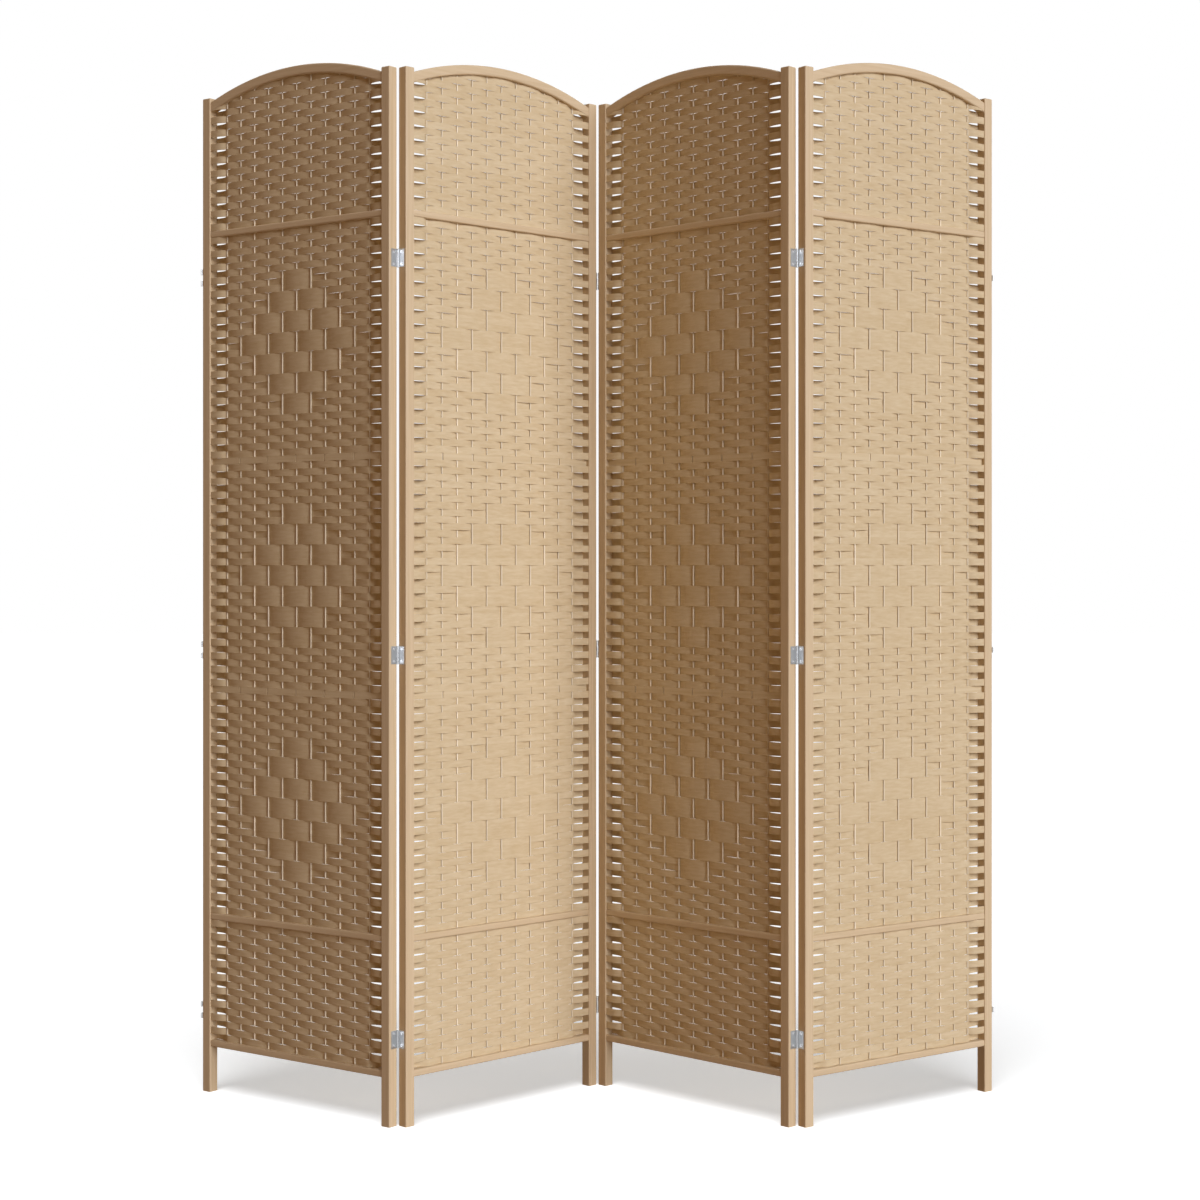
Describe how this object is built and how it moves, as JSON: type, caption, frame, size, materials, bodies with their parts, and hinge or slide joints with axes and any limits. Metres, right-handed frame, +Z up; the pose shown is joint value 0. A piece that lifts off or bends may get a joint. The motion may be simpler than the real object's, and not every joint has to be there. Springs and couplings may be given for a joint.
{
  "type": "folding room divider",
  "caption": "Free-standing folding screen of hinged arched wooden frames filled with flat woven strip, in a plain weave with a column of diamonds.",
  "frame": {"origin": "on the floor, under the middle of the standing zigzag's bounding box", "axes": "+Z up, +X along the row of panels from the first panel to the last as seen from the front, +Y from the front to the back"},
  "size_m": [1.4162, 0.3322, 1.8],
  "materials": {
    "pine_frame": "satin stain",
    "warp_stick": "plain",
    "paper_weave": "flat twisted-paper strip, matt",
    "zinc_hinge": "zinc plated"
  },
  "bodies": {
    "panel_2": {"panel_2_left_post": "pine_frame", "panel_2_right_post": "pine_frame", "panel_2_top_arch": "pine_frame", "panel_2_upper_crossbar": "pine_frame", "panel_2_lower_crossbar": "pine_frame", "panel_2_bottom_rail": "pine_frame", "panel_2_mid_laths": "pine_frame", "panel_2_rail_dowels": "pine_frame", "panel_2_warp_sticks": "warp_stick", "panel_2_weave_top": "paper_weave", "panel_2_weave_middle": "paper_weave", "panel_2_weave_bottom": "paper_weave", "panel_2_hinge_leaves": "zinc_hinge", "panel_2_hinge_screws": "zinc_hinge", "hinge_pins_1_2": "zinc_hinge"},
    "panel_1": {"panel_1_left_post": "pine_frame", "panel_1_right_post": "pine_frame", "panel_1_top_arch": "pine_frame", "panel_1_upper_crossbar": "pine_frame", "panel_1_lower_crossbar": "pine_frame", "panel_1_bottom_rail": "pine_frame", "panel_1_mid_laths": "pine_frame", "panel_1_rail_dowels": "pine_frame", "panel_1_warp_sticks": "warp_stick", "panel_1_weave_top": "paper_weave", "panel_1_weave_middle": "paper_weave", "panel_1_weave_bottom": "paper_weave", "panel_1_hinge_leaves": "zinc_hinge", "panel_1_hinge_screws": "zinc_hinge"},
    "panel_3": {"panel_3_left_post": "pine_frame", "panel_3_right_post": "pine_frame", "panel_3_top_arch": "pine_frame", "panel_3_upper_crossbar": "pine_frame", "panel_3_lower_crossbar": "pine_frame", "panel_3_bottom_rail": "pine_frame", "panel_3_mid_laths": "pine_frame", "panel_3_rail_dowels": "pine_frame", "panel_3_warp_sticks": "warp_stick", "panel_3_weave_top": "paper_weave", "panel_3_weave_middle": "paper_weave", "panel_3_weave_bottom": "paper_weave", "panel_3_hinge_leaves": "zinc_hinge", "panel_3_hinge_screws": "zinc_hinge", "hinge_pins_2_3": "zinc_hinge"},
    "panel_4": {"panel_4_left_post": "pine_frame", "panel_4_right_post": "pine_frame", "panel_4_top_arch": "pine_frame", "panel_4_upper_crossbar": "pine_frame", "panel_4_lower_crossbar": "pine_frame", "panel_4_bottom_rail": "pine_frame", "panel_4_mid_laths": "pine_frame", "panel_4_rail_dowels": "pine_frame", "panel_4_warp_sticks": "warp_stick", "panel_4_weave_top": "paper_weave", "panel_4_weave_middle": "paper_weave", "panel_4_weave_bottom": "paper_weave", "panel_4_hinge_leaves": "zinc_hinge", "panel_4_hinge_screws": "zinc_hinge", "hinge_pins_3_4": "zinc_hinge"}
  },
  "joints": [
    {"name": "fold_1_2", "type": "hinge", "parent": "panel_2", "child": "panel_1", "pos_m": [-0.33379, -0.1522, 0], "axis": [0, 0, -1], "range_deg": [-82.26, 97.74]},
    {"name": "fold_2_3", "type": "hinge", "parent": "panel_2", "child": "panel_3", "pos_m": [0, 0.15411, 0], "axis": [0, 0, -1], "range_deg": [-90.12, 89.88]},
    {"name": "fold_3_4", "type": "hinge", "parent": "panel_3", "child": "panel_4", "pos_m": [0.33379, -0.1522, 0], "axis": [0, 0, 1], "range_deg": [-82.26, 97.74]}
  ]
}
